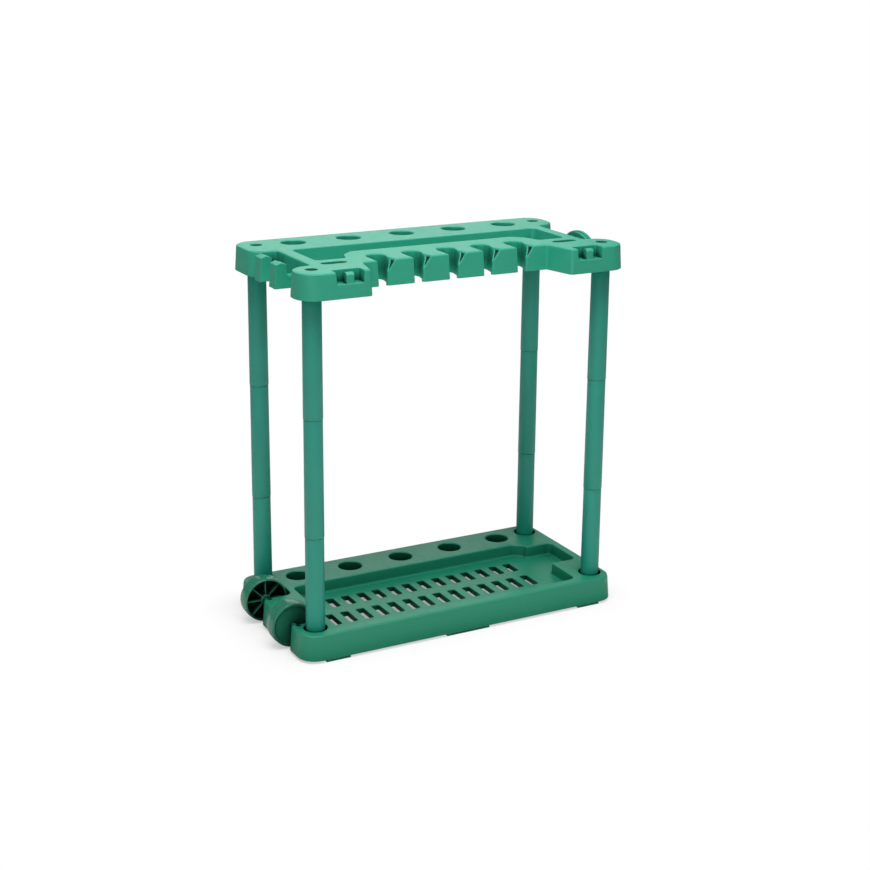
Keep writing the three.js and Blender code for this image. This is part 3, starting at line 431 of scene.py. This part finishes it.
class RackParts(bpy.types.PropertyGroup):
    """Sizes of the posts, wheels and pins, in metres."""

    spigot_length: bpy.props.FloatProperty(
        name="Spigot length", description="Length of the plug at the top of a post section",
        unit="LENGTH", default=22 * MM)
    spigot_step: bpy.props.FloatProperty(
        name="Spigot step", description="How much narrower the plug's radius is than the tube's",
        unit="LENGTH", default=1.95 * MM)
    tube_taper: bpy.props.FloatProperty(
        name="Tube taper", description="How much a section's radius shrinks from foot to top",
        unit="LENGTH", default=0.5 * MM)
    tube_wall: bpy.props.FloatProperty(
        name="Tube wall", description="Wall of a post section",
        unit="LENGTH", default=2.2 * MM)
    plug_clearance: bpy.props.FloatProperty(
        name="Plug clearance", description="Gap all round between a plug and its socket",
        unit="LENGTH", default=0.3 * MM)
    seam_round: bpy.props.FloatProperty(
        name="Seam round", description="Rounding of the edges that meet at a post's seam",
        unit="LENGTH", default=0.35 * MM)
    wheel_rim: bpy.props.FloatProperty(
        name="Wheel rim", description="Thickness of the tread ring",
        unit="LENGTH", default=2.8 * MM)
    wheel_dish_radius: bpy.props.FloatProperty(
        name="Dish radius", description="Radius of the sunk face of a wheel",
        unit="LENGTH", default=30 * MM)
    wheel_dish_depth: bpy.props.FloatProperty(
        name="Dish depth", description="How far the face is sunk below the rim",
        unit="LENGTH", default=2.4 * MM)
    wheel_hub_radius: bpy.props.FloatProperty(
        name="Hub radius", description="Radius of the hub on the ribbed side",
        unit="LENGTH", default=8.5 * MM)
    wheel_bore_radius: bpy.props.FloatProperty(
        name="Bore radius", description="Radius of the hole for the axle pin",
        unit="LENGTH", default=4.5 * MM)
    wheel_crown: bpy.props.FloatProperty(
        name="Crown", description="How much smaller the tread's radius is at its edges",
        unit="LENGTH", default=0.8 * MM)
    wheel_web: bpy.props.FloatProperty(
        name="Web", description="Thickness of the closed face",
        unit="LENGTH", default=2.6 * MM)
    wheel_hub_setback: bpy.props.FloatProperty(
        name="Hub setback", description="How far the hub ends below the rim on the ribbed side",
        unit="LENGTH", default=1.5 * MM)
    wheel_rib_setback: bpy.props.FloatProperty(
        name="Rib setback", description="How far the ribs end below the hub",
        unit="LENGTH", default=1.5 * MM)
    wheel_dish_slope: bpy.props.FloatProperty(
        name="Dish slope", description="How far the sunk face's wall leans outwards",
        unit="LENGTH", default=1.6 * MM)
    wheel_rib_thickness: bpy.props.FloatProperty(
        name="Rib thickness", description="Thickness of a rib",
        unit="LENGTH", default=1.8 * MM)
    wheel_rib_lap: bpy.props.FloatProperty(
        name="Rib lap", description="How far a rib runs into the hub, the tread ring and the web",
        unit="LENGTH", default=0.8 * MM)
    wheel_ribs: bpy.props.IntProperty(
        name="Ribs", description="Number of ribs between hub and tread", min=3, max=24,
        default=8)
    pin_round: bpy.props.FloatProperty(
        name="Pin round", description="Rounding of the axle pins' ends",
        unit="LENGTH", default=1.0 * MM)


class RackStage(bpy.types.PropertyGroup):
    """Light and floor round the rack."""

    key_power: bpy.props.FloatProperty(
        name="Main light", description="Power of the large light overhead, in watts",
        min=0, default=78)
    fill_power: bpy.props.FloatProperty(
        name="Fill light", description="Power of the soft light at the left, in watts",
        min=0, default=13)
    backdrop_power: bpy.props.FloatProperty(
        name="Backdrop light", description="Power of the low light behind the rack, in watts",
        min=0, default=11)
    ambient: bpy.props.FloatProperty(
        name="Room light", description="Brightness of the white room around the rack",
        min=0, default=0.16)
    floor_colour: bpy.props.FloatVectorProperty(
        name="Floor", description="Colour of the floor",
        subtype="COLOR", size=3, min=0, max=1, default=linear_from_hex("f0f0ee"))


def plastic(key, colour):
    """The moulded polypropylene of one kind of piece, made once."""
    name = "moulded_polypropylene_" + key
    finish = bpy.context.scene.rack_finish
    worn = key in ("wheel_moulding", "axle_pin")
    roughness = finish.wheel_roughness if worn else finish.roughness
    # Each kind of piece takes its own reach and shares for the painted shade in its recesses.
    shell = key in ("rack_moulding", "post_tube")
    recess = finish.shell_painted_shade if shell else finish.deep_painted_shade
    if name not in bpy.data.materials:
        moulded_polypropylene(name, tuple(colour), roughness, finish.edge_round,
                              finish.painted_shade_share, tuple(recess))
    return bpy.data.materials[name]


class RACK_OT_dress_mouldings(bpy.types.Operator):
    """Give the base tray and the top rack their plastic and smooth shading"""

    bl_idname = "rack.dress_mouldings"
    bl_label = "Base tray and top rack"

    def execute(self, context):
        finish = context.scene.rack_finish
        colours = {"base_tray": finish.base_green, "top_rack": finish.rack_green}
        for node, slot in MOULDINGS.items():
            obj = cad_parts[node]
            obj.material_slots[0].material = plastic(slot, colours[node])
            smooth_cad_node(obj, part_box(node)[1].z if node == "top_rack" else None)
        return {"FINISHED"}


class RACK_OT_build_posts(bpy.types.Operator):
    """Build the twelve tube sections of the posts, each with its plug for the next one"""

    bl_idname = "rack.build_posts"
    bl_label = "Post sections"

    def execute(self, context):
        parts = context.scene.rack_parts
        material = plastic("post_tube", context.scene.rack_finish.post_green)
        for node in POSTS:
            low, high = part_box(node)
            centre = Vector(((low.x + high.x) / 2, (low.y + high.y) / 2, 0))
            foot = (high.x - low.x) / 2
            top = foot - parts.tube_taper
            spigot = top - parts.spigot_step
            bore = spigot - parts.tube_wall
            shoulder = high.z - parts.spigot_length
            seam = parts.seam_round
            socket_top = low.z + parts.spigot_length
            profile = rounded_profile([
                (spigot + parts.plug_clearance, low.z, 0),
                (foot, low.z, seam),
                (top, shoulder, seam),
                (spigot, shoulder, 0),
                (spigot, high.z, seam),
                (bore, high.z, 0),
                (bore, socket_top + parts.tube_wall, 0),
                (spigot + parts.plug_clearance, socket_top, 0),
            ])
            mesh = bmesh.new()
            turn_profile(mesh, profile, POST_SIDES, centre, "Z")
            make_piece(node.replace("post", "tube"), mesh, material, "stand", node)
        return {"FINISHED"}


class RACK_OT_build_wheels(bpy.types.Operator):
    """Build the two wheels: a crowned tread ring, a sunk closed face and ribs behind it"""

    bl_idname = "rack.build_wheels"
    bl_label = "Wheels"

    def execute(self, context):
        parts = context.scene.rack_parts
        material = plastic("wheel_moulding", context.scene.rack_finish.wheel_green)
        for node, facing in WHEELS.items():
            low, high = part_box(node)
            centre = (low + high) / 2
            radius = (high.z - low.z) / 2
            half = (high.y - low.y) / 2
            crown = parts.wheel_crown
            lap = parts.wheel_rib_lap
            inner = radius - parts.wheel_rim - crown
            face = half - parts.wheel_dish_depth
            web = face - parts.wheel_web
            hub_end = -half + parts.wheel_hub_setback
            # Each corner of the profile has its own rounding as its third value.
            profile = rounded_profile([
                (parts.wheel_bore_radius, facing * hub_end, 0.6 * MM),
                (parts.wheel_hub_radius, facing * hub_end, 0.8 * MM),
                (parts.wheel_hub_radius, facing * web, 1.2 * MM),
                (inner, facing * web, 1.2 * MM),
                (inner, facing * -half, 0.5 * MM),
                (radius - crown, facing * -half, 2.0 * MM),
                (radius, 0.0, 3.0 * MM),
                (radius - crown, facing * half, 2.0 * MM),
                (parts.wheel_dish_radius + parts.wheel_dish_slope, facing * half, 0.7 * MM),
                (parts.wheel_dish_radius, facing * face, 1.0 * MM),
                (parts.wheel_bore_radius, facing * face, 0.6 * MM),
            ])
            mesh = bmesh.new()
            turn_profile(mesh, profile, WHEEL_SIDES, centre, "Y")
            length = inner - parts.wheel_hub_radius + 2 * lap
            depth = web - hub_end - parts.wheel_rib_setback + lap
            for index in range(parts.wheel_ribs):
                angle = 2 * math.pi * index / parts.wheel_ribs
                out = Vector((math.cos(angle), 0, math.sin(angle)))
                side = Vector((-math.sin(angle), 0, math.cos(angle)))
                middle = (centre + out * (inner + parts.wheel_hub_radius) / 2
                          + Vector((0, facing * (web - depth / 2 + lap), 0)))
                add_slab(mesh, middle, out, Vector((0, 1, 0)), side,
                         (length, depth, parts.wheel_rib_thickness))
            make_piece(node + "_moulding", mesh, material, node, node)
        return {"FINISHED"}


class RACK_OT_build_pins(bpy.types.Operator):
    """Build the two axle pins that the wheels turn on"""

    bl_idname = "rack.build_pins"
    bl_label = "Axle pins"

    def execute(self, context):
        parts = context.scene.rack_parts
        material = plastic("axle_pin", context.scene.rack_finish.wheel_green)
        for node in PINS:
            low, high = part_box(node)
            centre = (low + high) / 2
            radius = (high.z - low.z) / 2
            half = (high.y - low.y) / 2
            profile = rounded_profile([
                (0.0, -half, 0), (radius, -half, parts.pin_round),
                (radius, half, parts.pin_round), (0.0, half, 0)])
            mesh = bmesh.new()
            turn_profile(mesh, profile, PIN_SIDES, centre, "Y")
            make_piece(node + "_turned", mesh, material, "stand", node)
        return {"FINISHED"}


def aim(obj, target):
    """Points an object's -Z at target."""
    direction = Vector(target) - obj.location
    obj.rotation_euler = direction.to_track_quat("-Z", "Y").to_euler()


def add_softbox(name, stand, power):
    """A rectangular white light on its stand, aimed at the middle of the rack."""
    place, width, height = stand
    light = bpy.data.lights.new(name, "AREA")
    light.shape = "RECTANGLE"
    light.size = width
    light.size_y = height
    light.energy = power
    obj = bpy.data.objects.new(name, light)
    obj.location = place
    bpy.context.scene.collection.objects.link(obj)
    aim(obj, LIGHT_TARGET)


def add_camera():
    """The camera at the photograph's place and angle."""
    azimuth, elevation, roll = map(math.radians, (CAMERA_AZIMUTH, CAMERA_ELEVATION, CAMERA_ROLL))
    ahead = Vector((-math.sin(azimuth) * math.cos(elevation),
                    math.cos(azimuth) * math.cos(elevation), -math.sin(elevation)))
    level = ahead.cross(Vector((0, 0, 1))).normalized()
    upward = level.cross(ahead)
    right = level * math.cos(roll) + upward * math.sin(roll)
    up = upward * math.cos(roll) - level * math.sin(roll)
    lens = bpy.data.cameras.new("photo_camera")
    lens.sensor_width = SENSOR_MM
    lens.lens = FOCAL_PIXELS * SENSOR_MM / FRAME_PIXELS
    lens.shift_y = (OPTICAL_CENTRE_Y - FRAME_PIXELS / 2) / FRAME_PIXELS
    lens.clip_end = CLIP_END
    camera = bpy.data.objects.new("photo_camera", lens)
    turn = Matrix((right, up, -ahead)).transposed().to_4x4()
    camera.matrix_world = Matrix.Translation(CAMERA_PLACE) @ turn
    bpy.context.scene.collection.objects.link(camera)
    bpy.context.scene.camera = camera


def painted_floor(colour):
    """Matt white floor paint that runs into the white room; it keeps the rack's soft shadow."""
    material = blank_material("matt_floor_paint")
    tree = material.node_tree
    place = add_node(tree, "ShaderNodeTexCoord").outputs["Object"]
    speckle = add_node(tree, "ShaderNodeTexNoise",
                       values={"Scale": per_metre(SPECKLE_MM), "Detail": 3.0},
                       links={"Vector": place})
    tint = add_node(tree, "ShaderNodeMix", {"data_type": "RGBA"},
                    {6: scaled(colour, 0.985), 7: scaled(colour, 1.0)}, {0: speckle.outputs[0]})
    paint = add_node(tree, "ShaderNodeBsdfDiffuse", links={"Color": tint.outputs[2]})
    white = add_node(tree, "ShaderNodeEmission", values={"Color": WHITE, "Strength": 1.0})

    # How far a place on the floor lies outside the rack's outline, drawn in by FLOOR_INSET.
    half = [(high - low) / 2 for low, high in zip(*CAD_BOX)]
    mirrored = add_node(tree, "ShaderNodeVectorMath", {"operation": "ABSOLUTE"}, links={0: place})
    past = add_node(tree, "ShaderNodeVectorMath", {"operation": "SUBTRACT"},
                    {1: (half[0] - FLOOR_INSET, half[1] - FLOOR_INSET, 0)},
                    {0: mirrored.outputs[0]})
    outside = add_node(tree, "ShaderNodeVectorMath", {"operation": "MAXIMUM"},
                       {1: (0, 0, 0)}, {0: past.outputs[0]})
    reach = add_node(tree, "ShaderNodeVectorMath", {"operation": "LENGTH"},
                     links={0: outside.outputs[0]})
    far = add_node(tree, "ShaderNodeMapRange", {"interpolation_type": "SMOOTHSTEP"},
                   {"From Min": FLOOR_FADE[0], "From Max": FLOOR_FADE[1],
                    "To Min": FLOOR_WHITE[0], "To Max": FLOOR_WHITE[1]},
                   {"Value": reach.outputs["Value"]})
    seen = add_node(tree, "ShaderNodeLightPath")
    share = add_node(tree, "ShaderNodeMath", {"operation": "MULTIPLY"},
                     links={0: far.outputs[0], 1: seen.outputs["Is Camera Ray"]})
    mixed = add_node(tree, "ShaderNodeMixShader",
                     links={0: share.outputs[0], 1: paint.outputs[0], 2: white.outputs[0]})
    add_node(tree, "ShaderNodeOutputMaterial", links={"Surface": mixed.outputs[0]})
    return material


def add_floor(colour):
    """A plain pale floor under the rack."""
    mesh = bmesh.new()
    bmesh.ops.create_grid(mesh, x_segments=4, y_segments=4, size=FLOOR_HALF_SIZE)
    data = bpy.data.meshes.new("floor")
    mesh.to_mesh(data)
    mesh.free()
    data.materials.append(painted_floor(colour))
    floor = bpy.data.objects.new("floor", data)
    floor.location.z = -FLOOR_DROP
    bpy.context.scene.collection.objects.link(floor)


def white_room(ambient):
    """A white room: even light from all round, and plain white where the camera sees it."""
    world = bpy.data.worlds.new("white_room")
    world.use_nodes = True
    tree = world.node_tree
    tree.nodes.clear()
    seen = add_node(tree, "ShaderNodeLightPath")
    even = add_node(tree, "ShaderNodeBackground", values={"Color": WHITE, "Strength": ambient})
    white = add_node(tree, "ShaderNodeBackground", values={"Color": WHITE, "Strength": 1.0})
    mixed = add_node(tree, "ShaderNodeMixShader",
                     links={0: seen.outputs["Is Camera Ray"],
                            1: even.outputs[0], 2: white.outputs[0]})
    add_node(tree, "ShaderNodeOutputWorld", links={"Surface": mixed.outputs[0]})
    bpy.context.scene.world = world


class RACK_OT_set_stage(bpy.types.Operator):
    """Set the floor, the soft lights, the white room and the photograph's camera"""

    bl_idname = "rack.set_stage"
    bl_label = "Stage"

    def execute(self, context):
        stage = context.scene.rack_stage
        add_floor(tuple(stage.floor_colour))
        white_room(stage.ambient)
        add_softbox("main_light", MAIN_LIGHT, stage.key_power)
        add_softbox("fill_light", FILL_LIGHT, stage.fill_power)
        add_softbox("backdrop_light", BACKDROP_LIGHT, stage.backdrop_power)
        add_camera()
        context.scene.view_settings.view_transform = "Standard"
        return {"FINISHED"}


class RACK_PT_panel(bpy.types.Panel):
    """Sizes, colours and steps of the tool rack"""

    bl_label = "Garden tool rack"
    bl_space_type = "VIEW_3D"
    bl_region_type = "UI"
    bl_category = "Tool rack"

    def draw(self, context):
        layout = self.layout
        scene = context.scene
        for group in (scene.rack_finish, scene.rack_parts, scene.rack_stage):
            box = layout.box()
            for name in group.__annotations__:
                box.prop(group, name)
        for operator in OPERATORS:
            layout.operator(operator.bl_idname)


OPERATORS = (RACK_OT_dress_mouldings, RACK_OT_build_posts, RACK_OT_build_wheels,
             RACK_OT_build_pins, RACK_OT_set_stage)
CLASSES = (RackFinish, RackParts, RackStage, *OPERATORS, RACK_PT_panel)


def register():
    for cls in CLASSES:
        bpy.utils.register_class(cls)
    bpy.types.Scene.rack_finish = bpy.props.PointerProperty(type=RackFinish)
    bpy.types.Scene.rack_parts = bpy.props.PointerProperty(type=RackParts)
    bpy.types.Scene.rack_stage = bpy.props.PointerProperty(type=RackStage)


def unregister():
    del bpy.types.Scene.rack_stage
    del bpy.types.Scene.rack_parts
    del bpy.types.Scene.rack_finish
    for cls in reversed(CLASSES):
        bpy.utils.unregister_class(cls)


def main():
    register()
    bpy.ops.rack.dress_mouldings()
    bpy.ops.rack.build_posts()
    bpy.ops.rack.build_wheels()
    bpy.ops.rack.build_pins()
    bpy.ops.rack.set_stage()


if __name__ == "__main__":
    main()
